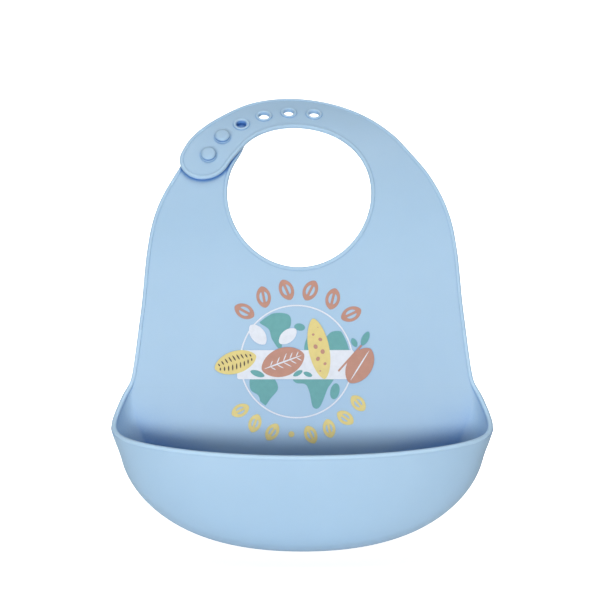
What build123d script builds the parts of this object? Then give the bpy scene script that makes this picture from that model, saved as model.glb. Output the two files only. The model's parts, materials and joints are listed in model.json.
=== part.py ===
from build123d import *
import os
from math import cos, radians, sin, sqrt

# A moulded silicone bib standing upright, in millimetres.
# X is left to right, Y runs from the front of the bib to its back, Z is up.
# The sheet is flat up to the fold line under the neck opening, then curls back on a large radius.

# ---- driving dimensions --------------------------------------------------------------------------
SHEET = 2.2              # thickness of the silicone sheet
HALF = SHEET / 2
FOLD_Z = 168.0           # height of the fold line between panel and yoke
BEND_R = 137.0           # radius on which the yoke curls back
PANEL_FLOOR_Z = 18.0     # height of the straight lower edge of the panel
WING_Z = 100.0           # height where the pocket wall leaves the panel edge

NECK_U = -1.8            # neck opening centre, across
NECK_S = 50.0            # neck opening centre, along the sheet above the fold line
NECK_HALF_W = 43.5
NECK_HALF_H = 46.6

STRAP_IN = 46.9          # strap inner edge radius about the neck centre
STRAP_OUT = 75.8         # strap outer edge radius
HOLE_R = 60.0            # radius of the row of strap holes
HOLE_FIRST = -8.9        # angle of the hole nearest the right shoulder
HOLE_STEP = 15.2         # angle between holes
ROOT_ANGLE = -50.0       # bending lines of the strap, as angles about the neck centre
MIDDLE_ANGLE = -16.0
TIP_ANGLE = 27.5
CAP_ANGLE = 69.0         # centre of the round end of the strap
LAP_TILT = 1.75          # how far each of the first two bends is raised so the strap clears the tab

TAB_IN = 49.0            # left tab, under the strap
TAB_OUT = 75.0
TAB_CAP_ANGLE = 42.0     # centre of the round end of the tab

EYELET_BORE = 3.0
EYELET_LIP = 4.7
EYELET_FLANGE = 5.2
EYELET_RISE = 0.7
STUD_STEM = 2.5
STUD_HEAD = 4.3
STUD_HEAD_RISE = 2.6

NOSE_GAP_STRAP = 1.95    # hollow that receives the round nose at each strap bend
NOSE_GAP_FOLD = 2.3      # the same at the fold line
NOSE_GAP_POCKET = 1.7    # the same at the pocket floor

POCKET_HALF_W = 107.6    # half width of the bowl before it flares
POCKET_FLARE = 5.4       # how much wider each wing is at the top
POCKET_FLOOR = 3.0       # height of the lowest point of the bowl
POCKET_HEIGHT = 72.0     # height where the bowl reaches its full width
ROUNDNESS = 2.18         # 2 would make the bowl an ellipse, more makes it squarer
POCKET_FRONT = 43.0      # reach of the pocket in front of its keel
POCKET_BACK = 13.1       # reach of the pocket floor behind its keel
KEEL_Y = -12.0
MOUTH_GAP = 0.8          # clearance between the panel edge and the pocket mouth

ORIGIN_Y = 0.947         # moves the finished bib so that its footprint is centred on the origin
ORIGIN_Z = -3.6          # and stands on Z = 0

INK = 0.2                # thickness of an ink film
RING_X = -3.4
RING_Z = 114.6
RING_R = 33.6


# ---- the curled sheet ----------------------------------------------------------------------------
def on_sheet(u, s, lift=0.0):
    """Point at u across and s along the sheet, raised by lift in front of its middle surface."""
    angle = s / BEND_R
    reach = BEND_R + lift
    return Vector(u, BEND_R - reach * cos(angle), FOLD_Z + reach * sin(angle))


def around_neck(angle, radius):
    """Flat position at an angle from the top of the neck opening, positive toward the left tab."""
    turn = radians(angle)
    return NECK_U - radius * sin(turn), NECK_S + radius * cos(turn)


def around_opening(angle):
    """Flat position on the oval edge of the neck opening."""
    turn = radians(angle)
    return NECK_U - NECK_HALF_W * sin(turn), NECK_S + NECK_HALF_H * cos(turn)


def sheet_normal(s):
    """Direction that points straight out of the front of the sheet."""
    angle = s / BEND_R
    return Vector(0, -cos(angle), sin(angle))


def sheet_plane(u, s, lift=0.0):
    return Plane(origin=on_sheet(u, s, lift), x_dir=(1, 0, 0), z_dir=sheet_normal(s))


def tube():
    """The whole cylinder of silicone that every curled piece is cut from."""
    ring = Cylinder(BEND_R + HALF, 260) - Cylinder(BEND_R - HALF, 260)
    return Pos(0, BEND_R, FOLD_Z) * Rot(0, 90, 0) * ring


def flat_edge(points, plane):
    """A line or smooth curve through flat positions, drawn on a plane that faces them."""
    local = [plane.to_local_coords(on_sheet(u, s)) for u, s in points]
    drawn = [plane.from_local_coords(Vector(p.X, p.Y, 0)) for p in local]
    if len(drawn) == 2:
        return Edge.make_line(drawn[0], drawn[1])
    return Edge.make_spline(drawn)


def cut_from_sheet(runs, plane):
    """Cut a piece with the given outline runs out of the curled sheet."""
    outline = Wire([flat_edge(run, plane) for run in runs])
    blank = Face(outline)
    prism = extrude(blank, amount=14, dir=plane.z_dir, both=True)
    return tube() & prism


# ---- bending lines -------------------------------------------------------------------------------
def bend_axis(angle):
    """Straight axis across the strap at an angle about the neck centre, pointing outward."""
    inner = on_sheet(*around_neck(angle, STRAP_IN))
    outer = on_sheet(*around_neck(angle, STRAP_OUT))
    crown = on_sheet(*around_neck(angle, (STRAP_IN + STRAP_OUT) / 2))
    middle = (inner + outer) * 0.25 + crown * 0.5
    return Axis(middle, outer - inner)


def rod(axis, radius, length):
    """A round bar centred on the middle of an axis."""
    place = Plane(origin=axis.position, z_dir=axis.direction)
    return place * Cylinder(radius, length)


def lapped(shape, bends):
    """Lift a strap piece onto the tab: bends counts how many raised bends it hangs from."""
    if bends > 1:
        shape = shape.rotate(bend_axis(MIDDLE_ANGLE), LAP_TILT)
    return shape.rotate(bend_axis(ROOT_ANGLE), LAP_TILT)


# ---- strap ---------------------------------------------------------------------------------------
def hole_angle(number):
    """Hole 1 is nearest the strap tip, hole 6 nearest the right shoulder."""
    return HOLE_FIRST + HOLE_STEP * (6 - number)


def arc_points(start, end, radius, count=7):
    span = (end - start) / (count - 1)
    return [around_neck(start + span * i, radius) for i in range(count)]


def off_centre(u, s, angle, along, across):
    """Flat position beside (u, s): along the arc at that angle, and across it outward."""
    tilt = radians(angle)
    return u - across * sin(tilt) - along * cos(tilt), s + across * cos(tilt) - along * sin(tilt)


def band(start, end):
    """A length of strap between two angles, both ends straight."""
    middle = (start + end) / 2
    plane = sheet_plane(*around_neck(middle, HOLE_R))
    inner = arc_points(start, end, STRAP_IN)
    outer = arc_points(end, start, STRAP_OUT)
    return cut_from_sheet([inner, [inner[-1], outer[0]], outer, [outer[-1], inner[0]]], plane)


def tip_outline():
    """Outline runs of the strap tip, with its round end."""
    inner = arc_points(TIP_ANGLE, CAP_ANGLE, STRAP_IN)
    outer = arc_points(CAP_ANGLE, TIP_ANGLE, STRAP_OUT)
    half_width = (STRAP_OUT - STRAP_IN) / 2
    mid = (STRAP_IN + STRAP_OUT) / 2
    u0, s0 = around_neck(CAP_ANGLE, mid)
    cap = []
    for i in range(9):
        turn = radians(22.5 * i)
        cap.append(off_centre(u0, s0, CAP_ANGLE, half_width * sin(turn), -half_width * cos(turn)))
    return [inner, cap, outer, [outer[-1], inner[0]]]


def hole_tool(number, radius):
    u, s = around_neck(hole_angle(number), HOLE_R)
    return sheet_plane(u, s) * Cylinder(radius, 12)


def nose(angle):
    """Round nose that ends the piece on the shoulder side of a bend."""
    return rod(bend_axis(angle), HALF, STRAP_OUT - STRAP_IN)


def hollow(angle):
    """Space kept free around a nose, on the tip side of a bend."""
    return rod(bend_axis(angle), NOSE_GAP_STRAP, 60)


def strap_piece(start, end, holes):
    if end:
        piece = band(start, end)
    else:
        piece = cut_from_sheet(tip_outline(), sheet_plane(*around_neck(46, HOLE_R)))
    piece = piece - hollow(start)
    if end:
        piece = piece + nose(end)
    for number in holes:
        piece = piece - hole_tool(number, EYELET_FLANGE + 0.05)
    return piece


def eyelet(number):
    """Raised rim of one strap hole."""
    u, s = around_neck(hole_angle(number), HOLE_R)
    plane = sheet_plane(u, s)
    flange = Cylinder(EYELET_FLANGE, SHEET)
    lip = Pos(0, 0, HALF) * Cylinder(EYELET_LIP, 2 * EYELET_RISE)
    lip = fillet(lip.edges().filter_by(GeomType.CIRCLE).sort_by(Axis.Z)[-1:], 0.5)
    ring = flange + lip - Cylinder(EYELET_BORE, 12)
    return plane * ring


# ---- yoke ----------------------------------------------------------------------------------------
def yoke_runs():
    """Outline of the yoke on the flat: right arm, neck opening, left tab, both outer edges."""
    right = [(94.6, -2), (94.2, 3), (93, 13.5), (90.2, 30), (85.2, 45.5), (77.4, 61.5), (66, 79)]
    right_arm = [right[-1], (60.4, 87.4), around_neck(ROOT_ANGLE, 73.4)]
    root_in = around_opening(ROOT_ANGLE)
    sweep = (-50, -75, -100, -125, -150, -180, -210, -235, -260, -285, -298)
    opening = [around_opening(a) for a in sweep]
    tab_in = [opening[-1], around_neck(54, 47.2), around_neck(48, 48.5)]
    tab_in.append(around_neck(TAB_CAP_ANGLE, TAB_IN))
    cap = []
    half_width = (TAB_OUT - TAB_IN) / 2
    u0, s0 = around_neck(TAB_CAP_ANGLE, (TAB_IN + TAB_OUT) / 2)
    for i in range(7):
        turn = radians(30 * i)
        cap.append(off_centre(u0, s0, TAB_CAP_ANGLE, -half_width * sin(turn), -half_width * cos(turn)))
    tab_out = [cap[-1], around_neck(53, TAB_OUT), around_neck(64, 74.6), (-73.6, 69.5), (-77.4, 61.5)]
    left = [tab_out[-1], (-85.2, 45.5), (-90.2, 30), (-93, 13.5), (-94.2, 3), (-94.6, -2)]
    cap[0] = tab_in[-1]
    root = [right_arm[-1], root_in]
    return [right, right_arm, root, opening, tab_in, cap, tab_out, left, [left[-1], right[0]]]


def yoke_sheet():
    sheet = cut_from_sheet(yoke_runs(), sheet_plane(0, 55))
    below = Pos(0, 0, FOLD_Z - 20) * Box(260, 60, 40)
    fold = Pos(0, 0, FOLD_Z) * Rot(0, 90, 0) * Cylinder(NOSE_GAP_FOLD, 260)
    return sheet - below - fold + nose(ROOT_ANGLE)


def stud(number, support):
    """Button stud that stands on the tab and passes through an eyelet."""
    u, s = around_neck(hole_angle(number), HOLE_R)
    stem = Pos(0, 0, -0.35) * Cylinder(STUD_STEM, 5.7)
    middle = HALF + EYELET_RISE + 0.2 + STUD_HEAD_RISE / 2
    head = Pos(0, 0, middle) * Cylinder(STUD_HEAD, STUD_HEAD_RISE)
    head = fillet(head.edges().filter_by(GeomType.CIRCLE).sort_by(Axis.Z)[-1:], 1.0)
    button = lapped(sheet_plane(u, s) * (stem + head), 2)
    return button - support


# ---- pocket --------------------------------------------------------------------------------------
def bulge(height, full):
    """Share of full width at a height above the floor of a rounded bowl."""
    share = min(max(height / full, 0), 1)
    return sqrt(1 - (1 - share) ** ROUNDNESS)


def filled(z, top, inset):
    """Share of full width at height z of a bowl that is full at height top."""
    return bulge(z - POCKET_FLOOR - inset, top - POCKET_FLOOR - inset)


def pocket_half_width(z, inset=0.0):
    climb = min(max((z - 58) / 24, 0), 1)
    flare = POCKET_FLARE * climb * climb * (3 - 2 * climb)
    return (POCKET_HALF_W - inset) * filled(z, POCKET_HEIGHT, inset) + flare


def mouth_half_width(z):
    """Half width of the flat back of the pocket."""
    return 0.9 * pocket_half_width(z)


def pocket_section(z, inset):
    """D-shaped level section of the pocket."""
    full = filled(z, POCKET_HEIGHT, inset)
    heel = filled(z, PANEL_FLOOR_Z, inset)
    wide = pocket_half_width(z, inset)
    flat = 0.9 * wide
    back = KEEL_Y + (POCKET_BACK - inset) * heel
    front = KEEL_Y - (POCKET_FRONT - inset) * full
    widest = KEEL_Y - 8 * full
    corner = (flat + 0.62 * (wide - flat), back + 0.45 * (widest - back))
    side = [(flat, back), corner, (wide, widest)]
    for turn in (22, 45, 67):
        side.append((wide * cos(radians(turn)), widest + (front - widest) * sin(radians(turn))))
    other = [(-x, y) for x, y in reversed(side)]
    curve = [Vector(x, y, z) for x, y in side + [(0, front)] + other]
    return Wire([Edge.make_spline(curve), Edge.make_line(curve[-1], curve[0])])


def bowl(inset):
    levels = [z + inset for z in (POCKET_FLOOR + 0.6, 7, 13, 22, 36, 50, 60, 70, 80, 95, 112)]
    return Solid.make_loft([pocket_section(z, inset) for z in levels])


def rim_cutter():
    """Everything above the scooped rim of the pocket."""
    low = [(-70, 58), (-55, 63.3), (-45, 67), (-38, 69.4), (-28, 72.8)]
    high = [(-20, 77), (-14, 81), (-8, 87), (0, 96.8), (4, 101)]
    curve = Edge.make_spline([Vector(0, y, z) for y, z in low + high])
    top = [Vector(0, 4, 101), Vector(0, 4, 140), Vector(0, -70, 140), Vector(0, -70, 58)]
    lines = [Edge.make_line(a, b) for a, b in zip(top, top[1:])]
    return extrude(Face(Wire([curve] + lines)), amount=130, dir=(1, 0, 0), both=True)


def panel_side(grow=0.0):
    """Right edge of the part of the panel that fills the pocket mouth."""
    levels = (PANEL_FLOOR_Z, 24, 32, 44, 58, 74, 90, WING_Z)
    return [(mouth_half_width(z) - 2.25 + grow, z) for z in levels]


def upright(points, y=0.0):
    return [Vector(x, y, z) for x, z in points]


def panel_outline(side, top):
    """Closed outline from a right edge, mirrored to the left."""
    mirror = [(-x, z) for x, z in reversed(side)]
    right = Edge.make_spline(upright(side))
    left = Edge.make_spline(upright(mirror))
    floor = Edge.make_line(upright(mirror)[-1], upright(side)[0])
    return [floor, right] + top + [left]


def mouth_cutter():
    side = panel_side(MOUTH_GAP)
    lid = [Edge.make_line(*upright([side[-1], (-side[-1][0], side[-1][1])]))]
    blank = Face(Wire(panel_outline(side, lid)))
    plate = extrude(blank, amount=12, dir=(0, 1, 0), both=True)
    return plate & Pos(0, 1, 60) * Box(260, 12, 140)


def pocket_shell():
    shell = bowl(0) - bowl(SHEET)
    shell = shell - rim_cutter() - mouth_cutter()
    length = 2 * panel_side(MOUTH_GAP)[0][0]
    groove = Pos(0, 0, PANEL_FLOOR_Z) * Rot(0, 90, 0) * Cylinder(NOSE_GAP_POCKET, length)
    return shell - groove


# ---- panel ---------------------------------------------------------------------------------------
def apron_panel():
    side = panel_side()
    upper = [(102.9, WING_Z + 0.6), (101.9, 106), (100.4, 116)]
    upper += [(98.2, 134), (96, 151.5), (94.5, FOLD_Z)]
    right = Edge.make_spline(upright(upper))
    left = Edge.make_spline(upright([(-x, z) for x, z in reversed(upper)]))
    step_in = Edge.make_line(*upright([(side[-1][0], side[-1][1]), upper[0]]))
    step_out = Edge.make_line(*upright([(-upper[0][0], upper[0][1]), (-side[-1][0], side[-1][1])]))
    fold = Edge.make_line(*upright([upper[-1], (-upper[-1][0], FOLD_Z)]))
    outline = panel_outline(side, [step_in, right, fold, left, step_out])
    sheet = extrude(Face(Wire(outline)), amount=HALF, dir=(0, 1, 0), both=True)
    fold_nose = Pos(0, 0, FOLD_Z) * Rot(0, 90, 0) * Cylinder(HALF, 189)
    floor_nose = Pos(0, 0, PANEL_FLOOR_Z) * Rot(0, 90, 0) * Cylinder(HALF, 2 * side[0][0])
    return sheet + fold_nose + floor_nose


# ---- ink films -----------------------------------------------------------------------------------
def inked(sketch):
    """Print a flat sketch (x to the right, y up) on the front of the panel."""
    front = Plane(origin=(0, -HALF, 0), x_dir=(1, 0, 0), z_dir=(0, -1, 0))
    return extrude(front * sketch, amount=INK, dir=(0, -1, 0))


def leaf(length, width):
    """Pointed leaf lying along X."""
    upper = ThreePointArc((-length / 2, 0), (0, width / 2), (length / 2, 0))
    lower = ThreePointArc((length / 2, 0), (0, -width / 2), (-length / 2, 0))
    return make_face([upper, lower])


def veined_leaf(length, width):
    """Leaf drawn as an outline with a middle vein."""
    opening = leaf(length - 6.4, width - 3.4) - Rectangle(length, 1.5)
    return leaf(length, width) - opening


def spray(radius, angles, length, width, lean):
    """Leaves standing on an arc round the ring, each turned a little off the radius."""
    marks = []
    for i, angle in enumerate(angles):
        turn = radians(angle)
        place = Pos(RING_X + radius * cos(turn), RING_Z + radius * sin(turn))
        marks.append(place * Rot(0, 0, angle + (lean if i % 2 else -lean)) * veined_leaf(length, width))
    return Sketch() + marks


def striped_leaf():
    return Pos(-40, 114.2) * Rot(0, 0, 17) * leaf(26, 13.5)


def tall_leaf():
    return Pos(10, 122.3) * Rot(0, 0, 101) * leaf(37, 12.5)


def broad_leaves():
    """The broad leaf in the middle and the one that hangs at the right end of the band."""
    broad = Pos(-11.5, 114.3) * Rot(0, 0, 20) * leaf(27, 17)
    return broad + Pos(34.5, 112.2) * Rot(0, 0, 58) * leaf(24, 15)


def big_leaves():
    return striped_leaf() + tall_leaf() + broad_leaves()


def pale_leaves():
    left = Pos(-26.6, 130.8) * Rot(0, 0, 128) * leaf(14.5, 8.6)
    return left + Pos(-8.6, 129.8) * Rot(0, 0, 40) * leaf(13, 7.6)


def small_leaves():
    """Small green leaves on the band and beside the hanging leaf."""
    low = Pos(-26.8, 107.4) * Rot(0, 0, -20) * leaf(9, 3.6)
    low = low + Pos(-2.6, 107.6) * Rot(0, 0, 30) * leaf(6.4, 2.8)
    high = Pos(37.8, 128.4) * Rot(0, 0, 64) * leaf(9, 4)
    high = high + Pos(31.2, 126) * Rot(0, 0, 118) * leaf(5.6, 3.2)
    return low + high - big_leaves()


def stripes():
    """Short stripes across the striped leaf."""
    marks = []
    for k in range(-3, 4):
        half = 4.6 * (1 - (k / 5.6) ** 2)
        for side in (-1, 1):
            centre = Pos(2.6 * k - 40 - side * 0.15 * half, 114.2 + 0.8 * k + side * 0.54 * half)
            marks.append(centre * Rot(0, 0, 107 + side * 16) * leaf(0.8 * half, 1))
    return Sketch() + marks


def spots():
    """Round spots down the tall leaf."""
    marks = []
    for k in range(8):
        along, size = 3.7 * k - 13.2, 1.4 - 0.06 * abs(k - 3.5)
        across = 1.9 if k % 2 else -1.7
        marks.append(Pos(10, 122.3) * Rot(0, 0, 101) * Pos(along, -across) * Circle(size))
    return Sketch() + marks


def patch(*points):
    """Rounded patch of land, kept inside the ring."""
    shore = make_face(Spline(*points, periodic=True))
    return shore & Pos(RING_X, RING_Z) * Circle(RING_R - 1.4)


def land():
    """Rounded patches above and below the pale band."""
    high = patch((-26, 139), (-17, 143.5), (-8, 142.5), (-7, 136), (-11, 131), (-13, 122), (-20, 130))
    side = patch((2, 120), (3.5, 130), (9, 132), (13, 128.5), (18, 132.5), (25, 132), (30, 118))
    left = patch((-30, 106), (-19, 106), (-14.5, 99), (-19, 92.5), (-24, 86.5), (-26, 94), (-31, 98))
    right = patch((-2, 106), (18, 106), (15, 98), (10.5, 87.5), (6.5, 87.5), (4.5, 96), (1, 101))
    isles = Pos(-1.5, 135.3) * Ellipse(3.2, 2.1) + Pos(19.6, 96.8) * Rot(0, 0, -12) * Ellipse(2.7, 4.8)
    return high + side + left + right + isles


def ring_and_band():
    ring = Pos(RING_X, RING_Z) * (Circle(RING_R + 0.5) - Circle(RING_R - 0.45))
    return ring + Pos(-4, 112.75) * RectangleRounded(70, 17.5, 1.2)


def white_print():
    return inked(ring_and_band() + pale_leaves() - big_leaves() - small_leaves())


def green_print():
    return inked(land() - ring_and_band() - pale_leaves() - big_leaves() + small_leaves())


def terracotta_print():
    return inked(spray(43.4, range(41, 141, 19), 13, 8.6, 16) + broad_leaves() + spots())


def yellow_print():
    low = spray(44.6, (221, 236, 251, 281, 296, 311, 326), 11.5, 7.6, 14)
    dot = Pos(RING_X + 43.6 * cos(radians(266)), RING_Z + 43.6 * sin(radians(266))) * Circle(1.8)
    plain = striped_leaf() - stripes() + (tall_leaf() - broad_leaves() - spots())
    return inked(low + dot + plain)


def brown_print():
    return inked(stripes())


# ---- every piece ---------------------------------------------------------------------------------
def build():
    yoke = yoke_sheet()
    pieces = {
        "apron_panel": apron_panel(),
        "pocket_shell": pocket_shell(),
        "yoke_sheet": yoke,
        "stud_1": stud(1, yoke),
        "stud_2": stud(2, yoke),
        "strap_root": lapped(strap_piece(ROOT_ANGLE, MIDDLE_ANGLE, ()), 1),
        "strap_middle": lapped(strap_piece(MIDDLE_ANGLE, TIP_ANGLE, (4, 5, 6)), 2),
        "strap_tip": lapped(strap_piece(TIP_ANGLE, None, (1, 2, 3)), 2),
        "print_white": white_print(),
        "print_green": green_print(),
        "print_terracotta": terracotta_print(),
        "print_yellow": yellow_print(),
        "print_brown": brown_print(),
    }
    for number in range(1, 7):
        pieces[f"eyelet_{number}"] = lapped(eyelet(number), 2)
    return pieces


os.makedirs("parts", exist_ok=True)
for name, solid in build().items():
    export_step(Pos(0, ORIGIN_Y, ORIGIN_Z) * solid, f"parts/{name}.step")
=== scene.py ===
import json
import math

import bpy
import numpy as np
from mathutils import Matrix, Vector
from mathutils.geometry import delaunay_2d_cdt


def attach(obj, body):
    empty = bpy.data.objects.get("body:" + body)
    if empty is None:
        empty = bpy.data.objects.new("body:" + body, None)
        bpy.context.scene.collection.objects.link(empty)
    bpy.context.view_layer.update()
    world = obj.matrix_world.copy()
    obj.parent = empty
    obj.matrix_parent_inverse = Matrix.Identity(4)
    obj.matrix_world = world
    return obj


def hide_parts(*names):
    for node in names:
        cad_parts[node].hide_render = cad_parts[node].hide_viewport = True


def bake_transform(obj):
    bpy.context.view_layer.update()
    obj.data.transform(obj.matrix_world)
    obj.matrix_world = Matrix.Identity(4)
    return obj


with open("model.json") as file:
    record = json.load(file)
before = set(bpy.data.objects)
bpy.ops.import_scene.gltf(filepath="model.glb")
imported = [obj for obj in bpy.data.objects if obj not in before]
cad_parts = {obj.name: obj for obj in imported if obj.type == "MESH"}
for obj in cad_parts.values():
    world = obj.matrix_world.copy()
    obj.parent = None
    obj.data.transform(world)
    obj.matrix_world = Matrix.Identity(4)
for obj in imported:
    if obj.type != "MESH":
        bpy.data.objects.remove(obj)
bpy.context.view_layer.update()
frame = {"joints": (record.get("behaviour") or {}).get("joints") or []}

# A silicone bib. Lengths are in millimetres until row() turns them into metres in the frame's axes.
MM = 0.001
ORIGIN_Y = 0.947           # shift from this script's millimetres to the frame's
ORIGIN_Z = -3.6

HALF = 1.1                 # half the thickness of the sheet
FOLD_Z = 168.0             # fold line under the neck opening
BEND_R = 137.0             # radius on which the yoke curls back
SEAM_Z = 100.5             # height where the panel skin meets the pocket skin

# Round the neck, a place is an angle and a radius about the middle of the neck opening.
NECK_U, NECK_S = -1.8, 50.0
NECK_HALF_W, NECK_HALF_H = 43.5, 46.6
STRAP_IN, STRAP_OUT = 46.9, 75.5
SHOULDER_OUT = 71.7        # outer edge radius where the strap grows out of the shoulder
WAIST_IN = 1.5             # how much nearer the neck the inner edge lies just before the round end
WAIST_OUT = 1.5            # the same for the outer edge
CAP_SWELL = 0.9            # how far the outer edge swells at the round end
CAP_SKEW = 1.4             # how far the crown of the round end leans outward
CAP_ANGLE = 69.5           # angle where the strap's round end begins
HOLE_R = 60.0              # radius on which the strap holes lie
HOLE_BORE = 3.4            # radius of a strap hole before its eyelet goes in
HOLE_COUNT = 6
HOLE_FIRST, HOLE_STEP = -8.9, 15.2     # angle of hole 6, and from one hole to the next
STUD_HOLES = (1, 2)        # the holes that the two studs stand in
TAB_IN, TAB_OUT, TAB_CAP_ANGLE = 49.5, 73.0, 42.0
LAP = 2.95                 # how far in front of the tab the strap lies

CUT_YOKE, CUT_ROOT, CUT_MIDDLE = -62.0, -33.0, 13.1    # angles where one skin ends and the next begins
OVERLAP = 1.2              # degrees by which each length of strap runs into the one before it
OVERLAP_GROW = 0.02        # how much thicker an overlapping skin is, so that no two faces coincide
SHEET_GROW = 0.015         # the same for the skin of panel and yoke
ROOT_ANGLE, MIDDLE_ANGLE, TIP_ANGLE = -50.0, -16.0, 27.5    # where the strap's three hinges cross it

BEAD_FLAT = 1.3            # half width of the edge bead in the plane of the sheet
BEAD_PROUD = 1.42          # half height of the edge bead across the sheet
BEAD_LIFT = 0.2            # how far the edge bead sits in front of the middle of the sheet
RIM_PROUD = 1.48           # half height of the bead on the pocket rim
RIM_GROW = 0.03            # how much fuller the rim bead is where it runs over an edge bead
RIM_TAPER = 25             # run over which the rim bead thins to meet the edge beads
BEAD_STARTS, RIM_REACHES = -38, -34    # s where the edge beads start, and where the rim bead ends

POCKET_HALF_W, POCKET_FLARE = 107.6, 5.4
POCKET_FLOOR, POCKET_HEIGHT = 3.0, 72.0    # lowest point, and the height where its round ends
POCKET_SOLE = 3.6          # height of the small flat the bowl stands on
ROUNDNESS = 2.18           # 2 would make the bowl an ellipse
SOLE_FULLNESS = 0.45       # how much squarer the bowl is near its lowest point
KEEL_Y = -12.0             # the bowl's lowest point, front to back
POCKET_FRONT, POCKET_BACK = 43.0, 13.1    # how far the bowl reaches before and behind the keel
PANEL_FLOOR_Z = 18.0       # height above which the back of the bowl is upright
BACK_COLUMNS, CORNER_COLUMNS, FRONT_COLUMNS = 20, 22, 47
POCKET_ROWS = 64

RING_X, RING_Z, RING_R = -3.4, 114.6, 33.6
FILM = 0.12                # thickness of an ink film
FILM_SINK = 0.05           # how deep a film reaches into what is under it

FLOOR_DROP = 0.0075        # metres; leaves the bowl room to dip when the pocket is pulled open


# ---- mapping -------------------------------------------------------------------------------------
def row(points):
    """Millimetre points as metres in the row frame."""
    return (np.asarray(points, float) + (0, ORIGIN_Y, ORIGIN_Z)) * MM


def smoothstep(t):
    t = np.clip(t, 0, 1)
    return t * t * (3 - 2 * t)


def on_sheet(u, s, lift):
    """Flat positions (u across, s along, counted from the fold line) laid on the curled sheet."""
    u, s, lift = np.broadcast_arrays(np.asarray(u, float), s, lift)
    angle = np.maximum(s, 0) / BEND_R
    reach = BEND_R + lift
    y = BEND_R - reach * np.cos(angle)
    z = FOLD_Z + reach * np.sin(angle) + np.minimum(s, 0)
    return np.stack([u, y, z], -1)


def neck_angle(u, s):
    """Angle about the neck centre, zero at the top, positive toward the left tab."""
    return np.degrees(np.arctan2(-(np.asarray(u) - NECK_U), np.asarray(s) - NECK_S))


def around_neck(angle, radius):
    turn = np.radians(angle)
    return np.stack([NECK_U - radius * np.sin(turn), NECK_S + radius * np.cos(turn)], -1)


def opening_radius(angle):
    turn = np.radians(angle)
    return 1 / np.sqrt((np.sin(turn) / NECK_HALF_W) ** 2 + (np.cos(turn) / NECK_HALF_H) ** 2)


def strap_in(angle):
    angle = np.asarray(angle, float)
    ease = smoothstep((angle + 60) / 70)
    waist = WAIST_IN * np.exp(-(((angle - 55) / 13.5) ** 2))
    return opening_radius(angle) * (1 - ease) + STRAP_IN * ease - waist


def strap_out(angle):
    angle = np.asarray(angle, float)
    grown = (STRAP_OUT - SHOULDER_OUT) * smoothstep((angle + 48) / 58)
    waist = WAIST_OUT * np.exp(-(((angle - 40) / 13) ** 2)) - CAP_SWELL * smoothstep((angle - 50) / 16)
    return SHOULDER_OUT + grown + smoothstep((-50 - angle) / 14) - waist


def on_strap(u, s, lift):
    """The strap leaves the right shoulder and climbs onto the left tab."""
    rise = LAP * smoothstep((neck_angle(u, s) + 46) / 72)
    return on_sheet(u, s, lift + rise)


# ---- curves --------------------------------------------------------------------------------------
def through(points, step=1.6, closed=False):
    """Evenly spaced points on a smooth curve through the given ones."""
    p = np.asarray(points, float)
    if not closed:
        p = np.vstack([2 * p[0] - p[1], p, 2 * p[-1] - p[-2]])
    out = []
    t = np.linspace(0, 1, 24, endpoint=False)[:, None]
    for a, b, c, d in zip(p, p[1:], p[2:], p[3:]):
        square, cube = 2 * a - 5 * b + 4 * c - d, 3 * b - a - 3 * c + d
        out.append(0.5 * (2 * b + (c - a) * t + square * t**2 + cube * t**3))
    curve = even(np.vstack(out + [p[-2][None]]), step)
    return curve[:-1] if closed else curve


def even(points, step):
    """The same polyline with evenly spaced points."""
    gap = np.linalg.norm(np.diff(points, axis=0), axis=1)
    run = np.concatenate([[0], np.cumsum(gap)])
    n = max(2, int(round(run[-1] / step)) + 1)
    at = np.linspace(0, run[-1], n)
    return np.stack([np.interp(at, run, points[:, k]) for k in range(points.shape[1])], -1)


def inset(run, distance):
    """The run moved to the left of its direction of travel."""
    d = np.gradient(run, axis=0)
    d /= np.linalg.norm(d, axis=1)[:, None]
    return run + distance * np.stack([-d[:, 1], d[:, 0]], -1)


def relax(points, rounds):
    """Smooths a polyline with its ends held."""
    p = points.copy()
    for _ in range(rounds):
        p[1:-1] = 0.5 * p[1:-1] + 0.25 * (p[:-2] + p[2:])
    return p


def circle(centre, radius, n=40):
    t = np.linspace(0, 2 * math.pi, n, endpoint=False)
    return np.asarray(centre) + radius * np.stack([np.cos(t), np.sin(t)], -1)


# ---- meshes --------------------------------------------------------------------------------------
def make_object(name, verts, faces, sharp=50):
    mesh = bpy.data.meshes.new(name)
    mesh.from_pydata([tuple(v) for v in row(verts)], [], faces)
    mesh.validate()
    mesh.polygons.foreach_set("use_smooth", [True] * len(mesh.polygons))
    mesh.set_sharp_from_angle(angle=math.radians(sharp))
    mesh.update()
    obj = bpy.data.objects.new(name, mesh)
    bpy.context.scene.collection.objects.link(obj)
    return obj


def inside(points, loops):
    """Which flat points lie inside the outer loop and outside the holes."""
    hit = np.zeros(len(points), bool)
    for loop in loops:
        a, b = loop, np.roll(loop, -1, axis=0)
        x, y = points[:, :1], points[:, 1:]
        spans = (a[:, 1] > y) != (b[:, 1] > y)
        with np.errstate(divide="ignore", invalid="ignore"):
            cross = (b[:, 0] - a[:, 0]) * (y - a[:, 1]) / (b[:, 1] - a[:, 1]) + a[:, 0]
        hit ^= ((spans & (x < cross)).sum(1) % 2).astype(bool)
    return hit


def fill_points(loops, rows, spacing):
    """Staggered points inside the loops, clear of their edges."""
    edge = np.vstack(loops)
    low, high = edge.min(0), edge.max(0)
    found = []
    for i, s in enumerate(rows):
        xs = np.arange(low[0] + (i % 2) * spacing / 2, high[0], spacing)
        found.append(np.stack([xs, np.full(len(xs), s)], -1))
    points = np.vstack(found)
    points = points[inside(points, loops)]
    near = np.array([np.min(np.sum((edge - p) ** 2, 1)) for p in points])
    return points[near > (0.5 * spacing) ** 2]


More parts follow.
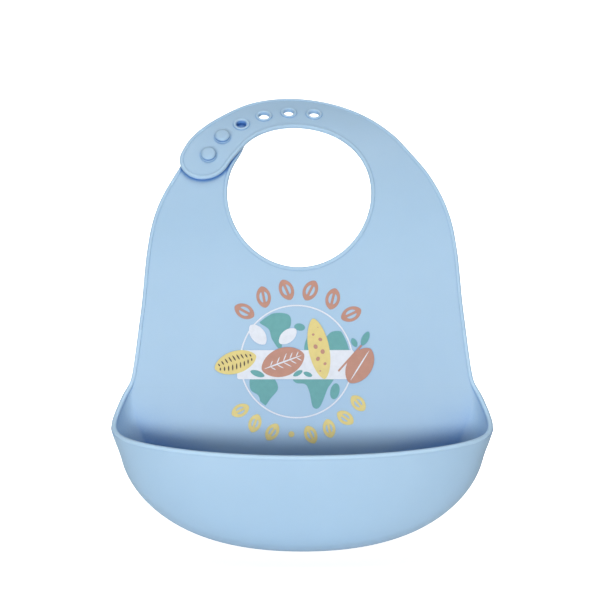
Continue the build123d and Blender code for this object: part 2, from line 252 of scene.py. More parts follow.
def skin(name, loops, place, low, high, spacing=3.0, fine=None):
    """A closed sheet between two lifts over a flat region; fine is a span of s with closer rows."""
    edge = np.vstack(loops)
    rows = list(np.arange(edge[:, 1].min() + 0.7, edge[:, 1].max(), spacing * 0.87))
    if fine:
        rows = [s for s in rows if not fine[0] < s < fine[1]] + list(np.arange(fine[0], fine[1], 1.3))
        rows.sort()
    points = np.vstack([edge, fill_points(loops, rows, spacing)])
    links = []
    base = 0
    for loop in loops:
        n = len(loop)
        links += [(base + i, base + (i + 1) % n) for i in range(n)]
        base += n
    out, _, tris, _, _, _ = delaunay_2d_cdt([Vector(p) for p in points], links, [], 0, 1e-5)
    flat = np.array([tuple(v) for v in out])
    tris = np.array([t for t in tris if len(t) == 3])
    tris = tris[inside(flat[tris].mean(1), loops)]
    a, b, c = flat[tris[:, 0]], flat[tris[:, 1]], flat[tris[:, 2]]
    turn = (b[:, 0] - a[:, 0]) * (c[:, 1] - a[:, 1]) - (b[:, 1] - a[:, 1]) * (c[:, 0] - a[:, 0])
    tris[turn < 0] = tris[turn < 0][:, ::-1]
    n = len(flat)
    verts = np.vstack([place(flat[:, 0], flat[:, 1], high), place(flat[:, 0], flat[:, 1], low)])
    faces = [tuple(int(v) for v in t) for t in tris]
    sides = {}
    for t in faces:
        for i in range(3):
            sides[(t[i], t[(i + 1) % 3])] = True
    walls = [(q, p, p + n, q + n) for p, q in sides if (q, p) not in sides]
    back = [(t[2] + n, t[1] + n, t[0] + n) for t in faces]
    used = sorted({v for f in faces + back + walls for v in f})
    number = {v: i for i, v in enumerate(used)}
    all_faces = [tuple(number[v] for v in f) for f in faces + back + walls]
    return make_object(name, verts[used], all_faces)


def tube(name, path, normals, proud=BEAD_PROUD, flat=BEAD_FLAT, sides=14, closed=False):
    """A soft oval bead swept along a path; proud is its half height along the normals."""
    d = np.roll(path, -1, 0) - np.roll(path, 1, 0) if closed else np.gradient(path, axis=0)
    d /= np.linalg.norm(d, axis=1)[:, None]
    n = normals - d * np.sum(normals * d, 1)[:, None]
    n /= np.linalg.norm(n, axis=1)[:, None]
    b = np.cross(d, n)
    t = np.linspace(0, 2 * math.pi, sides, endpoint=False)
    c = (np.sign(np.cos(t)) * np.abs(np.cos(t)) ** 0.8)[None] * proud
    s = np.sign(np.sin(t)) * np.abs(np.sin(t)) ** 0.8 * flat
    rings = path[:, None] + n[:, None] * c[:, :, None] + b[:, None] * s[None, :, None]
    count = len(path)
    faces = []
    for i in range(count if closed else count - 1):
        j = (i + 1) % count
        for k in range(sides):
            m = (k + 1) % sides
            faces.append((i * sides + k, i * sides + m, j * sides + m, j * sides + k))
    if not closed:
        faces.append(tuple(range(sides - 1, -1, -1)))
        faces.append(tuple((count - 1) * sides + k for k in range(sides)))
    return make_object(name, rings.reshape(-1, 3), faces)


def edge_bead(name, run, place):
    """Bead along a flat run."""
    path = place(run[:, 0], run[:, 1], BEAD_LIFT)
    ahead = place(run[:, 0], run[:, 1], BEAD_LIFT + 1.0)
    return tube(name, path, ahead - path)


def lathe(name, profile, centre, place, segments=44, sharp=40):
    """A turned piece standing on the sheet: profile is radius and lift."""
    profile = np.asarray(profile, float)
    t = np.linspace(0, 2 * math.pi, segments, endpoint=False)
    verts, rings = [], []
    for r, h in profile:
        if r < 1e-6:
            rings.append([len(verts)])
            verts.append(place(centre[0], centre[1], h))
            continue
        u, s = centre[0] + r * np.cos(t), centre[1] + r * np.sin(t)
        rings.append(list(range(len(verts), len(verts) + segments)))
        verts.extend(place(u, s, h))
    faces = []
    pairs = list(zip(rings, rings[1:]))
    if profile[0][0] > 1e-6:
        pairs.append((rings[-1], rings[0]))
    for a, b in pairs:
        for k in range(segments):
            m = (k + 1) % segments
            if len(a) == 1:
                faces.append((a[0], b[m], b[k]))
            elif len(b) == 1:
                faces.append((a[k], a[m], b[0]))
            else:
                faces.append((a[k], a[m], b[m], b[k]))
    return make_object(name, np.array(verts), faces, sharp)


# ---- looks ---------------------------------------------------------------------------------------
def new_material(name):
    material = bpy.data.materials.new(name)
    material.use_nodes = True
    tree = material.node_tree
    return material, tree, tree.nodes["Principled BSDF"]


def noise(tree, scale, detail=3.0, rough=0.5):
    node = tree.nodes.new("ShaderNodeTexNoise")
    node.inputs["Scale"].default_value = scale
    node.inputs["Detail"].default_value = detail
    node.inputs["Roughness"].default_value = rough
    where = tree.nodes.new("ShaderNodeTexCoord")
    tree.links.new(where.outputs["Object"], node.inputs["Vector"])
    return node


def ramp(tree, source, stops):
    node = tree.nodes.new("ShaderNodeValToRGB")
    elements = node.color_ramp.elements
    for element, (at, colour) in zip(elements, stops[:2]):
        element.position = at
        element.color = colour
    for at, colour in stops[2:]:
        elements.new(at).color = colour
    tree.links.new(source, node.inputs["Fac"])
    return node


def bump(tree, bsdf, layers):
    """Stacks bumps: each layer is a texture node, a strength and a distance."""
    previous = None
    for texture, strength, distance in layers:
        node = tree.nodes.new("ShaderNodeBump")
        node.inputs["Strength"].default_value = strength
        node.inputs["Distance"].default_value = distance
        tree.links.new(texture.outputs["Fac"], node.inputs["Height"])
        if previous:
            tree.links.new(previous.outputs["Normal"], node.inputs["Normal"])
        previous = node
    tree.links.new(previous.outputs["Normal"], bsdf.inputs["Normal"])


def occlusion_shaded(tree, colour, reach, closed, opened, shade_tint):
    """The colour with painted shade: darkened and tinted by an occlusion node where other rubber lies
    within reach.
    """
    occlusion = tree.nodes.new("ShaderNodeAmbientOcclusion")
    occlusion.samples = 8
    occlusion.inputs["Distance"].default_value = reach
    shade_ramp = ramp(tree, occlusion.outputs["AO"], [(closed, (*shade_tint, 1)), (opened, (1, 1, 1, 1))])
    mix = tree.nodes.new("ShaderNodeMixRGB")
    mix.blend_type = "MULTIPLY"
    mix.inputs["Fac"].default_value = 1.0
    tree.links.new(colour, mix.inputs["Color1"])
    tree.links.new(shade_ramp.outputs["Color"], mix.inputs["Color2"])
    return mix.outputs["Color"]


def silicone(name, colour, lighter):
    """Soft-touch silicone: matt, a little translucent, with a faint cloudiness, a fine grain, and painted
    shade in hollows and creases.
    """
    material, tree, bsdf = new_material(name)
    cloud = noise(tree, 14, 4, 0.55)
    tone = ramp(tree, cloud.outputs["Fac"], [(0.35, (*colour, 1)), (0.7, (*lighter, 1))])
    # Painted shade: the colour darkens to a blue tint inside the pocket and in its wing corners, where
    # other rubber lies within 5 cm.
    deep = occlusion_shaded(tree, tone.outputs["Color"], 0.05, 0.36, 0.76, (0.27, 0.51, 0.90))
    # Painted shade along fine creases: beside the edge beads, round the eyelets and studs, and under the
    # strap.
    crease_shade = occlusion_shaded(tree, deep, 0.002, 0.62, 0.96, (0.60, 0.74, 0.88))
    tree.links.new(crease_shade, bsdf.inputs["Base Color"])
    patch = noise(tree, 120, 3)
    smooth, rough = (0.50, 0.50, 0.50, 1), (0.60, 0.60, 0.60, 1)
    gloss = ramp(tree, patch.outputs["Fac"], [(0.3, smooth), (0.75, rough)])
    tree.links.new(gloss.outputs["Color"], bsdf.inputs["Roughness"])
    bsdf.inputs["Specular IOR Level"].default_value = 0.38
    bsdf.inputs["Subsurface Weight"].default_value = 0.18
    bsdf.inputs["Subsurface Radius"].default_value = (0.6, 0.8, 1.0)
    bsdf.inputs["Subsurface Scale"].default_value = 0.0022
    bsdf.inputs["Sheen Weight"].default_value = 0.10
    bsdf.inputs["Sheen Roughness"].default_value = 0.45
    bump(tree, bsdf, [(noise(tree, 26, 2), 0.10, 0.0009), (noise(tree, 2600, 2), 0.10, 0.00006)])
    return material


def ink(name, colour):
    """Screen-printed ink: flat colour that is a little uneven, on a faint mesh texture."""
    material, tree, bsdf = new_material(name)
    uneven = noise(tree, 260, 4, 0.6)
    darker = tuple(c * 0.93 for c in colour)
    tone = ramp(tree, uneven.outputs["Fac"], [(0.3, (*darker, 1)), (0.6, (*colour, 1))])
    tree.links.new(tone.outputs["Color"], bsdf.inputs["Base Color"])
    bsdf.inputs["Roughness"].default_value = 0.62
    bsdf.inputs["Specular IOR Level"].default_value = 0.3
    bump(tree, bsdf, [(noise(tree, 3000, 1), 0.12, 0.00005)])
    return material


BLUE = silicone("silicone_blue", (0.350, 0.520, 0.690), (0.368, 0.540, 0.708))
# Painted highlight: the edge beads and the open eyelets' rims are the same rubber as the sheet, given a
# lighter blue for the light their rounded edges catch.
BLUE_HIGHLIT_EDGE = silicone("silicone_edge_highlight", (0.375, 0.548, 0.718), (0.395, 0.568, 0.736))
# Painted highlight: the pocket rim bead is the same rubber, given a still lighter blue for the light band
# along its top.
BLUE_HIGHLIT_RIM = silicone("silicone_rim_highlight", (0.42, 0.60, 0.77), (0.44, 0.62, 0.79))
WHITE_INK = ink("ink_white", (0.70, 0.74, 0.81))
GREEN_INK = ink("ink_green", (0.13, 0.36, 0.37))
TERRACOTTA_INK = ink("ink_terracotta", (0.48, 0.25, 0.19))
YELLOW_INK = ink("ink_yellow", (0.70, 0.59, 0.23))
BROWN_INK = ink("ink_brown", (0.10, 0.075, 0.06))


def dress(obj, material, slot, *nodes):
    obj.data.materials.append(material)
    if nodes:
        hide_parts(*nodes)
    return obj


# ---- joints --------------------------------------------------------------------------------------
JOINTS = {j["name"]: j for j in frame["joints"]}


def flex(obj, joint, reach, along):
    """Bakes a piece's transform; it looks up the joint and works out a step of reach millimetres in the
    given direction, but bends nothing.
    """
    data = JOINTS[joint]
    at = np.array(data["pos_m"])
    step = np.array(along, float)
    step = step / np.linalg.norm(step) * reach * MM
    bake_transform(obj)
    return obj


def strap_direction(angle):
    """Direction along the strap, toward its tip, at an angle."""
    here, ahead = around_neck(angle - 1, HOLE_R), around_neck(angle + 1, HOLE_R)
    return on_sheet(*ahead, 0.0) - on_sheet(*here, 0.0)


def fold(obj):
    return flex(obj, "yoke_fold", 13, (0, 0, 1))


def bend_root(obj):
    return flex(obj, "strap_root_bend", 8.5, strap_direction(ROOT_ANGLE))


def bend_middle(obj):
    return flex(obj, "strap_middle_bend", 10, strap_direction(MIDDLE_ANGLE))


def bend_tip(obj):
    return flex(obj, "strap_tip_bend", 8, strap_direction(TIP_ANGLE))


def flex_pocket(obj):
    at = np.array(JOINTS["pocket_flex"]["pos_m"])
    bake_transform(obj)
    return obj


# ---- panel and yoke ------------------------------------------------------------------------------
SIDE = [(103.3, SEAM_Z - 1.5 - FOLD_Z), (102.1, -62), (100.5, -52), (98.2, -34), (96, -16.5),
        (94.5, 0), (93, 13.5), (90.2, 30), (85.2, 45.5), (77.4, 61.5)]


def cap_points(cap_angle, inner, outer, turn_from, count=13, skew=0.0):
    """Round end of a strap or tab; skew leans its crown outward."""
    half = (outer - inner) / 2
    centre = around_neck(cap_angle, (outer + inner) / 2)
    tilt = math.radians(cap_angle)
    points = []
    for i in range(count):
        turn = math.pi * i / (count - 1)
        along = turn_from * half * math.sin(turn)
        across = skew * math.sin(turn) - half * math.cos(turn)
        points.append((centre[0] - across * math.sin(tilt) - along * math.cos(tilt),
                       centre[1] + across * math.cos(tilt) - along * math.sin(tilt)))
    return points


def yoke_loop():
    """Edge runs of the panel and yoke skin, already moved in to the middle of the edge bead."""
    right = through(SIDE + [(67.2, 76.9), tuple(around_neck(CUT_YOKE, strap_out(CUT_YOKE)))])
    neck = [tuple(around_neck(a, opening_radius(a))) for a in np.linspace(CUT_YOKE, -304, 42)]
    tab_in = [tuple(around_neck(50.5, 45.5)), tuple(around_neck(46, 47.1))]
    cap = cap_points(TAB_CAP_ANGLE, TAB_IN, TAB_OUT, -1)
    tab_out = [tuple(around_neck(52, TAB_OUT)), tuple(around_neck(63, 74.8))]
    left_side = [(-x, s) for x, s in reversed(SIDE)]
    left = through(neck + tab_in + cap + tab_out + [(-73.4, 70)] + left_side)
    right, left = inset(right, BEAD_FLAT), inset(left, BEAD_FLAT)
    right[0], left[-1] = (SIDE[0][0] - BEAD_FLAT, SIDE[0][1]), (BEAD_FLAT - SIDE[0][0], SIDE[0][1])
    right[-1] = around_neck(CUT_YOKE, strap_out(CUT_YOKE) - BEAD_FLAT)
    left[0] = around_neck(CUT_YOKE, strap_in(CUT_YOKE) + BEAD_FLAT)
    return right, left


def build_sheet():
    """The skin of panel and yoke with its edge beads; gives back the low ends of its two edges."""
    right, left = yoke_loop()
    floor = even(np.array([left[-1], right[0]]), 2.0)[1:-1]
    cut = even(np.array([right[-1], left[0]]), 2.0)[1:-1]
    outline = np.vstack([right, cut, left, floor])
    sheet = skin("bib_sheet", [outline], on_sheet, -HALF - SHEET_GROW, HALF + SHEET_GROW, fine=(-15, 15))
    fold(dress(sheet, BLUE, "silicone", "apron_panel", "yoke_sheet"))
    for name, run in (("edge_bead_right", right), ("edge_bead_left", left)):
        bead = edge_bead(name, run[run[:, 1] > BEAD_STARTS], on_sheet)
        fold(dress(bead, BLUE_HIGHLIT_EDGE, "silicone"))
    return right[right[:, 1] < RIM_REACHES], left[left[:, 1] < RIM_REACHES]


# ---- strap ---------------------------------------------------------------------------------------
def strap_arc(start, end, edge, side):
    """One edge of the strap, moved in by the edge bead: side is 1 for the inner edge, -1 for the outer."""
    angles = np.linspace(start, end, max(6, int(abs(end - start) * 0.8)))
    return around_neck(angles, edge(angles) + side * BEAD_FLAT)


def hole_angle(number):
    return HOLE_FIRST + HOLE_STEP * (HOLE_COUNT - number)


def strap_holes(numbers):
    return [circle(around_neck(hole_angle(n), HOLE_R), HOLE_BORE) for n in numbers]


def strap_length(name, start, end, holes, flexing, *nodes):
    """One length of strap; it starts a little inside the piece before it."""
    outer = strap_arc(start - OVERLAP, end, strap_out, -1)
    inner = strap_arc(end, start - OVERLAP, strap_in, 1)
    finish = even(np.array([outer[-1], inner[0]]), 2.0)[1:-1]
    begin = even(np.array([inner[-1], outer[0]]), 2.0)[1:-1]
    loops = [np.vstack([outer, finish, inner, begin])] + strap_holes(holes)
    grow = OVERLAP_GROW if start == CUT_YOKE else 0.0
    length = skin(name, loops, on_strap, -HALF - grow, HALF + grow, 2.2)
    flexing(dress(length, BLUE, "silicone", *nodes))
    flexing(dress(edge_bead(name + "_outer_bead", outer, on_strap), BLUE_HIGHLIT_EDGE, "silicone"))
    flexing(dress(edge_bead(name + "_inner_bead", inner, on_strap), BLUE_HIGHLIT_EDGE, "silicone"))


def strap_end():
    """The last length of strap, with its round end."""
    outer = strap_arc(CUT_MIDDLE - OVERLAP, CAP_ANGLE, strap_out, -1)
    inner = strap_arc(CAP_ANGLE, CUT_MIDDLE - OVERLAP, strap_in, 1)
    cap_in, cap_out = strap_in(CAP_ANGLE) + BEAD_FLAT, strap_out(CAP_ANGLE) - BEAD_FLAT
    cap = cap_points(CAP_ANGLE, cap_in, cap_out, 1, 19, CAP_SKEW)[::-1]
    edge = np.vstack([outer, np.array(cap)[1:-1], inner])
    begin = even(np.array([inner[-1], outer[0]]), 2.0)[1:-1]
    loops = [np.vstack([edge, begin])] + strap_holes((1, 2, 3, 4))
    tip = skin("strap_tip_skin", loops, on_strap, -HALF - OVERLAP_GROW, HALF + OVERLAP_GROW, 2.2)
    bend_tip(dress(tip, BLUE, "silicone", "strap_tip"))
    bend_tip(dress(edge_bead("strap_tip_bead", even(edge, 1.5), on_strap), BLUE_HIGHLIT_EDGE, "silicone"))


# Turned profiles, as radius and lift above the middle of the strap.
EYELET = [(3.2, -0.95), (3.45, -1.2), (3.9, -1.15), (3.9, 0.3), (5.1, 0.7), (5.1, 1.3),
          (4.98, 1.62), (4.7, 1.82), (4.3, 1.9), (3.85, 1.8), (3.45, 1.5), (3.2, 1.0)]
STUD = [(0, -1.7), (2.5, -1.7), (2.5, 1.85), (3.9, 1.9), (4.3, 2.05), (4.45, 2.4),
        (4.45, 2.9), (4.25, 3.4), (3.8, 3.8), (3.2, 3.98), (2.2, 4.05), (0, 4.08)]


def build_strap():
    strap_length("strap_root_skin", CUT_YOKE, CUT_ROOT, (), bend_root, "strap_root")
    strap_length("strap_middle_skin", CUT_ROOT, CUT_MIDDLE, (5, 6), bend_middle, "strap_middle")
    strap_end()
    for number in range(1, HOLE_COUNT + 1):
        centre = around_neck(hole_angle(number), HOLE_R)
        ring = lathe(f"eyelet_{number}_rim", EYELET[::-1], centre, on_strap)
        # Painted highlight: the four open eyelets get the lighter edge blue; the two under the studs keep
        # the plain blue.
        dress(ring, BLUE_HIGHLIT_EDGE if number > 2 else BLUE, "silicone", f"eyelet_{number}")
        (bend_middle if number > 4 else bend_tip)(ring)
    for number in STUD_HOLES:
        centre = around_neck(hole_angle(number), HOLE_R)
        button = lathe(f"stud_{number}_button", STUD, centre, on_strap)
        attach(dress(button, BLUE, "silicone", f"stud_{number}"), "yoke")


# ---- pocket --------------------------------------------------------------------------------------
# The rim seen from the side, as Y and height: low at the front, steep where it meets the panel.
RIM = through([(-60, 61.6), (-55, 63.3), (-45, 67), (-38, 69.4), (-28, 72.8), (-20, 77),
               (-14, 81), (-8, 87), (-4, 92), (-1.4, 96.3), (0.2, 99), (1.1, 100.5)], 0.4)


def rim_height(y):
    return np.interp(y, RIM[:, 0], RIM[:, 1])


def bulge(height, full):
    """Share of its full reach that the rounded bowl has at a height."""
    share = np.clip(height / full, 0, 1)
    return np.sqrt(1 - (1 - share) ** (ROUNDNESS + SOLE_FULLNESS * (1 - share) ** 4))


def climb(q):
    """Height reached by the running angle q: round below, straight above."""
    share = np.where(q < math.pi / 2, 1 - np.cos(q), 1 + q - math.pi / 2)
    return POCKET_FLOOR + (POCKET_HEIGHT - POCKET_FLOOR) * share


def unclimb(z):
    """The running angle q at which climb(q) is z."""
    share = (z - POCKET_FLOOR) / (POCKET_HEIGHT - POCKET_FLOOR)
    return np.where(share < 1, np.arccos(np.clip(1 - share, -1, 1)), math.pi / 2 + share - 1)


def pocket_point(kind, t, z):
    """Outer surface, right half. kind 0 is the flat back, 1 the wing corner, 2 the front."""
    full = bulge(z - POCKET_FLOOR, POCKET_HEIGHT - POCKET_FLOOR)
    wide = POCKET_HALF_W * full + POCKET_FLARE * smoothstep((z - 58) / 24)
    back = KEEL_Y + POCKET_BACK * bulge(z - POCKET_FLOOR, PANEL_FLOOR_Z - POCKET_FLOOR)
    front = KEEL_Y - POCKET_FRONT * full
    widest = KEEL_Y - 8 * full
    corner = (0.9025 - 0.05 * smoothstep((100 - z) / 40)) * wide
    x0, y0 = corner * t, back
    across = (corner, corner + 0.6 * (wide - corner), wide, wide)
    deep = (back, back, widest + 0.38 * (back - widest), widest)
    weights = ((1 - t) ** 3, 3 * t * (1 - t) ** 2, 3 * t * t * (1 - t), t**3)
    x1 = sum(w * v for w, v in zip(weights, across))
    y1 = sum(w * v for w, v in zip(weights, deep))
    turn = t * math.pi / 2
    x2, y2 = wide * np.cos(turn), widest + (front - widest) * np.sin(turn)
    x = np.where(kind == 0, x0, np.where(kind == 1, x1, x2))
    y = np.where(kind == 0, y0, np.where(kind == 1, y1, y2))
    return np.stack([x, y, z], -1)


def pocket_columns():
    """Columns from the middle of the back, round the right side, to the middle of the front."""
    kind = np.repeat([0.0, 1.0, 2.0], [BACK_COLUMNS, CORNER_COLUMNS, FRONT_COLUMNS])
    t = np.concatenate([np.linspace(0, 1, BACK_COLUMNS, endpoint=False),
                        np.linspace(0, 1, CORNER_COLUMNS, endpoint=False),
                        np.linspace(0, 1, FRONT_COLUMNS)])
    return kind, t


def pocket_grid():
    """Outer skin as a grid: rows climb from the keel, columns go round."""
    kind, t = pocket_columns()
    top = np.full(len(t), 80.0)
    below = np.where(kind == 1, 1.1 * smoothstep(t / 0.3), 1.1)
    for _ in range(60):
        top = 0.5 * top + 0.5 * (rim_height(pocket_point(kind, t, top)[:, 1]) - below)
    top = np.where(kind == 0, SEAM_Z, top)
    q_top = unclimb(top)
    share = np.linspace(0, 1, POCKET_ROWS) ** 0.92
    q_sole = unclimb(np.array(POCKET_SOLE))
    q = q_sole + (q_top - q_sole)[None] * share[:, None]
    half = pocket_point(kind[None], t[None], climb(q))
    other = half[:, -2:0:-1] * (-1, 1, 1)
    return np.concatenate([half, other], 1), len(t)


def grid_normals(grid):
    """Outward normals of a grid that is closed round its columns."""
    up = np.gradient(grid, axis=0)
    around = np.roll(grid, -1, 1) - np.roll(grid, 1, 1)
    n = np.cross(up, around)
    return n / np.linalg.norm(n, axis=2)[:, :, None]


def build_pocket(right_edge, left_edge):
    """The bowl, then its rim bead, which runs up over the low ends of the panel's edges."""
    grid, half_count = pocket_grid()
    normals = grid_normals(grid)
    front_middle = normals[40, half_count - 1]
    if front_middle[1] > 0:
        normals = -normals
    rows, cols = grid.shape[:2]
    inner = grid - normals * 2 * HALF
    poles = [(0, KEEL_Y, POCKET_SOLE), (0, KEEL_Y, POCKET_SOLE + 2 * HALF)]
    verts = np.vstack([grid.reshape(-1, 3), inner.reshape(-1, 3), poles])
    shift, pole = rows * cols, 2 * rows * cols
    faces = []
    for j in range(cols):
        k = (j + 1) % cols
        for i in range(rows - 1):
            a, b, c, d = i * cols + j, i * cols + k, (i + 1) * cols + k, (i + 1) * cols + j
            faces += [(a, d, c, b), (a + shift, b + shift, c + shift, d + shift)]
        a, b = (rows - 1) * cols + j, (rows - 1) * cols + k
        faces += [(a, a + shift, b + shift, b), (j, k, pole), (k + shift, j + shift, pole + 1)]
    shell = make_object("pocket_skin", verts, faces)
    flex_pocket(dress(shell, BLUE, "silicone", "pocket_shell"))
    free = slice(BACK_COLUMNS, cols - BACK_COLUMNS + 1)
    middle = grid[-1] - normals[-1] * HALF
    path, lean = middle[free], -normals[-1][free]
    down = on_sheet(right_edge[::-1, 0], right_edge[::-1, 1], BEAD_LIFT)
    up = on_sheet(left_edge[:, 0], left_edge[:, 1], BEAD_LIFT)
    front = np.array([[0, -1.0, 0]])
    path = np.vstack([down, path[1:-1], up[::-1]])
    lean = np.vstack([np.repeat(front, len(down), 0), lean[1:-1], np.repeat(front, len(up), 0)])
    step, faint, rounds = 1.4, 0.001, 26
    both = even(np.hstack([path, lean * faint]), step)
    path, lean = relax(both[:, :3], rounds), relax(both[:, 3:] / faint, rounds)
    from_end = np.minimum(np.arange(len(path)), np.arange(len(path))[::-1]) * step
    thin = BEAD_PROUD + RIM_GROW
    proud = thin + (RIM_PROUD - thin) * smoothstep(from_end / RIM_TAPER)
    rim = tube("pocket_rim_bead", path, lean, proud=proud[:, None], flat=BEAD_FLAT + 0.02)
    # The rim bead is dressed in the lighter blue of a painted highlight.
    flex_pocket(dress(rim, BLUE_HIGHLIT_RIM, "silicone"))


# ---- print ---------------------------------------------------------------------------------------
def on_front(level):
    """Places a film on the panel's front: level 0 lies on the rubber, higher ones on the film below."""
    base = HALF + level * FILM * 0.9

    def place(x, z, lift):
        return on_sheet(x, np.asarray(z) - FOLD_Z, base + lift)
    return place


def film(name, loops, material, slot, level=0, *nodes):
    """Ink film over every outline in the list; an outline inside another one is a hole."""
    obj = skin(name, loops, on_front(level), -FILM_SINK, FILM, 2.5)
    return fold(dress(obj, material, slot, *nodes))


def turned(loops, angle, centre):
    t = math.radians(angle)
    turn = np.array([[math.cos(t), math.sin(t)], [-math.sin(t), math.cos(t)]])
    return [np.asarray(loop) @ turn + np.asarray(centre) for loop in loops]


def leaf(length, width, n=22):
    """Pointed leaf along X."""
    t = np.linspace(0, math.pi, n, endpoint=False)
    upper = np.stack([-length / 2 * np.cos(t), width / 2 * np.sin(t) ** 1.25], -1)
    return [np.vstack([upper, -upper])]


def drawn_leaf(length, width, stroke, vein):
    """Leaf drawn as an outline with a middle vein."""
    t = np.linspace(0, math.pi, 18)
    x = -(length / 2 - 1.9 * stroke) * np.cos(t)
    y = vein / 2 + (width / 2 - stroke - vein / 2) * np.sin(t) ** 1.1
    half = np.stack([x, y], -1)
    return leaf(length, width) + [half, half * (1, -1)]


def oval(width, height):
    return [circle((0, 0), 0.5, 30) * (width, height)]


def rounded_box(x0, x1, z0, z1, r=1.2):
    points = []
    left, right, low, high = x0 + r, x1 - r, z0 + r, z1 - r
    for cx, cz, start in ((right, high, 0), (left, high, 90), (left, low, 180), (right, low, 270)):
        for a in np.radians(np.linspace(start, start + 90, 7)):
            points.append((cx + r * math.cos(a), cz + r * math.sin(a)))
    return [np.array(points)]


def patch(*points):
    """Rounded patch of land, kept inside the ring."""
    shore = through([points[-1], *points, points[0], points[1]], 1.3, closed=True) - (RING_X, RING_Z)
    far = np.linalg.norm(shore, axis=1)
    keep = np.minimum(1, (RING_R - 1.4) / far)
    return [shore * keep[:, None] + (RING_X, RING_Z)]


def on_arc(radius, angle):
    """A point about the middle of the ring."""
    turn = math.radians(angle)
    return RING_X + radius * math.cos(turn), RING_Z + radius * math.sin(turn)


def arc_of_leaves(radius, angles, length, width, lean):
    loops = []
    for i, angle in enumerate(angles):
        tilt = lean if i % 2 else -lean
        loops += turned(drawn_leaf(length, width, 1.75, 1.5), angle + tilt, on_arc(radius, angle))
    return loops


def print_land():
    """Rounded patches of land and two islands, all behind the pale band."""
    loops = patch((-26, 139), (-17, 143.5), (-8, 142.5), (-7, 136), (-11, 131), (-13, 122),
                  (-18, 128), (-20, 134))
    loops += turned(oval(6.4, 4.2), -10, (-1.5, 135.3))
    loops += patch((2, 120), (3.5, 130), (9, 132), (13, 128.5), (18, 132.5), (25, 132),
                   (31, 125), (30, 119), (15, 118))
    loops += patch((-30, 106), (-19, 106), (-14.5, 99), (-19, 92.5), (-24, 86.5), (-26, 94), (-31, 98))
    loops += patch((-4, 106), (18, 106), (15, 98), (10.5, 87.5), (6.5, 87.5), (4.5, 96),
                   (2, 101), (-4, 102))
    loops += turned(oval(5.4, 9.6), -12, (19.6, 96.8))
    film("print_green_land", loops, GREEN_INK, "ink_green", 0, "print_green")


def print_leaves():
    """Large leaves on the pale band, in place of figures."""
    loops = turned(leaf(26, 13.5), 17, (-40, 114.2)) + turned(leaf(37, 12.5), 101, (10, 122.3))
    film("print_yellow_leaves", loops, YELLOW_INK, "ink_yellow", 2)
    stripes = []
    for i, k in enumerate(range(-4, 5)):
        high = 10.4 * (1 - (k / 5.6) ** 2)
        for side in (-1, 1):
            across = (2.35 * k - 40 - side * 0.075 * high, 114.2 + 0.72 * k + side * 0.24 * high)
            stripes += turned(leaf(0.36 * high, 0.85), 107 + side * 16, across)
    film("print_brown_stripes", stripes, BROWN_INK, "ink_brown", 3, "print_brown")
    body = turned(leaf(27, 17), 20, (-11.5, 114.3)) + turned(leaf(24, 15), 58, (34.5, 112.2))
    film("print_terracotta_leaves", body, TERRACOTTA_INK, "ink_terracotta", 2)
    twig = turned([rounded_box(-10.5, 10.5, -0.55, 0.55, 0.5)[0]], 48, (28.6, 116.6))
    film("print_terracotta_twig", twig, TERRACOTTA_INK, "ink_terracotta", 3)
    veins = turned(leaf(24, 0.9), 20, (-11.5, 114.3)) + turned(leaf(21, 0.8), 58, (34.5, 112.2))
    for k in (-2, -1, 0, 1, 2):
        for side in (-1, 1):
            slant = 20 + side * 48
            reach = 5.2 - 0.9 * abs(k)
            base = np.array([-11.5, 114.3]) + 4.1 * k * np.array([0.94, 0.342])
            step = np.array([math.cos(math.radians(slant)), math.sin(math.radians(slant))])
            veins += turned(leaf(reach, 0.6), slant, base + step * (reach / 2 + 0.5))
    film("print_white_veins", veins, WHITE_INK, "ink_white", 3)
    spots = []
    for k in range(8):
        at = -13.2 + 3.7 * k
        size = 2.9 - 0.035 * (at + 1) ** 2 * 0.35
        side = 1.9 if k % 2 else -1.7
        centre = (10 + at * math.cos(math.radians(101)) + side * math.sin(math.radians(101)),
                  122.3 + at * math.sin(math.radians(101)) - side * math.cos(math.radians(101)))
        spots += turned(oval(size, size * 0.86), 30 * k, centre)
    film("print_terracotta_spots", spots, TERRACOTTA_INK, "ink_terracotta", 3)


def build_print():
    ring = [circle((RING_X, RING_Z), RING_R + 0.5, 150), circle((RING_X, RING_Z), RING_R - 0.45, 150)]
    film("print_white_ring", ring, WHITE_INK, "ink_white", 0, "print_white")
    print_land()
    arc = arc_of_leaves(43.4, range(41, 141, 19), 13, 8.6, 16)
    film("print_terracotta_arc", arc, TERRACOTTA_INK, "ink_terracotta", 0, "print_terracotta")
    arc = arc_of_leaves(44.6, (221, 236, 251, 281, 296, 311, 326), 11.5, 7.6, 14)
    arc += turned(oval(3.6, 3.6), 0, on_arc(43.6, 266))
    film("print_yellow_arc", arc, YELLOW_INK, "ink_yellow", 0, "print_yellow")
    pale = rounded_box(-39, 31, 104, 121.5)
    film("print_white_band", pale, WHITE_INK, "ink_white", 1)
    petals = turned(leaf(14.5, 8.6), 128, (-26.6, 130.8)) + turned(leaf(13, 7.6), 40, (-8.6, 129.8))
    film("print_white_leaves", petals, WHITE_INK, "ink_white", 1)
    small = turned(leaf(9, 3.6), -20, (-26.8, 107.4)) + turned(leaf(6.4, 2.8), 30, (-2.6, 107.6))
    small += turned(leaf(5.6, 2.8), -22, (3.4, 107.0))
    small += turned(leaf(9, 4), 64, (37.8, 128.4)) + turned(leaf(5.6, 3.2), 118, (31.2, 126))
    film("print_green_leaves", small, GREEN_INK, "ink_green", 2)
    print_leaves()


right_edge_end, left_edge_end = build_sheet()
build_strap()
build_pocket(right_edge_end, left_edge_end)
build_print()


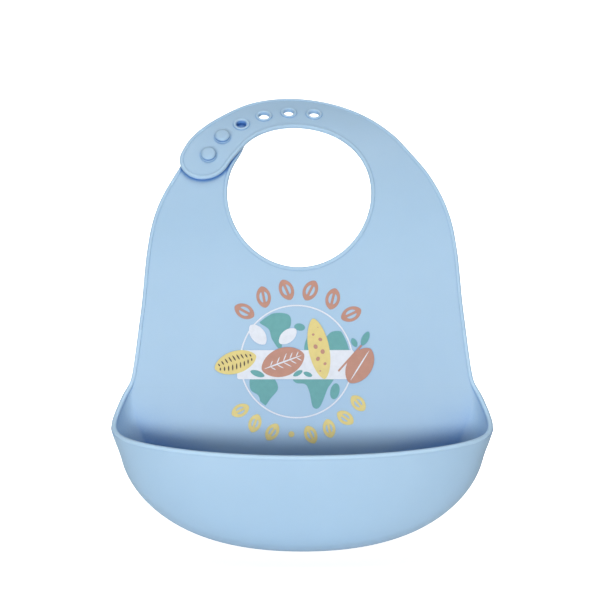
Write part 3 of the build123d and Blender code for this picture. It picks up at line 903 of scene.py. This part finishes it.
# ---- stage ---------------------------------------------------------------------------------------
def plain(name, colour, rough=0.9):
    material, _, bsdf = new_material(name)
    bsdf.inputs["Base Color"].default_value = (*colour, 1)
    bsdf.inputs["Roughness"].default_value = rough
    bsdf.inputs["Specular IOR Level"].default_value = 0.1
    return material


def paper_white():
    """White paper that looks evenly lit to the camera and throws back little light."""
    material = plain("backdrop_white", (0.8, 0.8, 0.8))
    tree = material.node_tree
    surface = tree.nodes["Principled BSDF"]
    surface.inputs["Emission Color"].default_value = (1, 1, 1, 1)
    path = tree.nodes.new("ShaderNodeLightPath")
    glow = tree.nodes.new("ShaderNodeMapRange")
    glow.inputs["To Min"].default_value = 0.1
    glow.inputs["To Max"].default_value = 0.75
    tree.links.new(path.outputs["Is Camera Ray"], glow.inputs["Value"])
    tree.links.new(glow.outputs["Result"], surface.inputs["Emission Strength"])
    return material


def build_stage():
    """Pale floor that curves up into a pale wall. Lengths are in metres."""
    front, behind, sweep, high, half_wide, steps = -2.5, 1.2, 0.8, 4.0, 4, 12
    profile = [(front, 0.0), (behind, 0.0)]
    for turn in np.radians(np.linspace(0, 90, steps + 1)[1:]):
        profile.append((behind + sweep * math.sin(turn), sweep - sweep * math.cos(turn)))
    profile.append((behind + sweep, high))
    verts = [(x, y, z) for y, z in profile for x in (-half_wide, half_wide)]
    faces = [(2 * i, 2 * i + 1, 2 * i + 3, 2 * i + 2) for i in range(len(profile) - 1)]
    mesh = bpy.data.meshes.new("backdrop")
    mesh.from_pydata(verts, [], faces)
    mesh.polygons.foreach_set("use_smooth", [True] * len(mesh.polygons))
    backdrop = bpy.data.objects.new("backdrop", mesh)
    bpy.context.scene.collection.objects.link(backdrop)
    backdrop.location.z = -FLOOR_DROP
    mesh.materials.append(paper_white())
    backdrop.visible_shadow = False


def area_light(name, place, target, size, power):
    """Round lamp at a place in metres, turned to a target."""
    light = bpy.data.lights.new(name, "AREA")
    light.shape = "DISK"
    light.size = size
    light.energy = power
    lamp = bpy.data.objects.new(name, light)
    bpy.context.scene.collection.objects.link(lamp)
    lamp.location = place
    lamp.rotation_euler = (Vector(target) - Vector(place)).to_track_quat("-Z", "Y").to_euler()


def build_light():
    world = bpy.data.worlds.new("studio")
    world.use_nodes = True
    world.node_tree.nodes["Background"].inputs["Color"].default_value = (1, 1, 1, 1)
    world.node_tree.nodes["Background"].inputs["Strength"].default_value = 0.17
    bpy.context.scene.world = world
    area_light("key_left", (-0.62, -1.5, -0.1), (0, 0, 0.1), 0.5, 12.3)
    area_light("key_right", (0.45, -1.55, -0.06), (0, 0, 0.1), 0.5, 8.3)
    area_light("top", (0.05, -0.45, 1.4), (0, 0, 0.15), 0.9, 7)
    area_light("back", (0.0, 1.0, 1.3), (0, 1.9, 0.6), 1.6, 22)


def build_camera():
    """Level camera, 0.9 m in front of the panel."""
    data = bpy.data.cameras.new("camera")
    data.lens = 90
    data.sensor_width = 36
    data.clip_start = 0.01
    camera = bpy.data.objects.new("camera", data)
    bpy.context.scene.collection.objects.link(camera)
    camera.location = (-0.0013, -0.9 + ORIGIN_Y * MM, 0.1479)
    camera.rotation_euler = (math.radians(90), 0, 0)
    bpy.context.scene.camera = camera


build_stage()
build_light()
build_camera()
bpy.context.scene.view_settings.view_transform = "Standard"
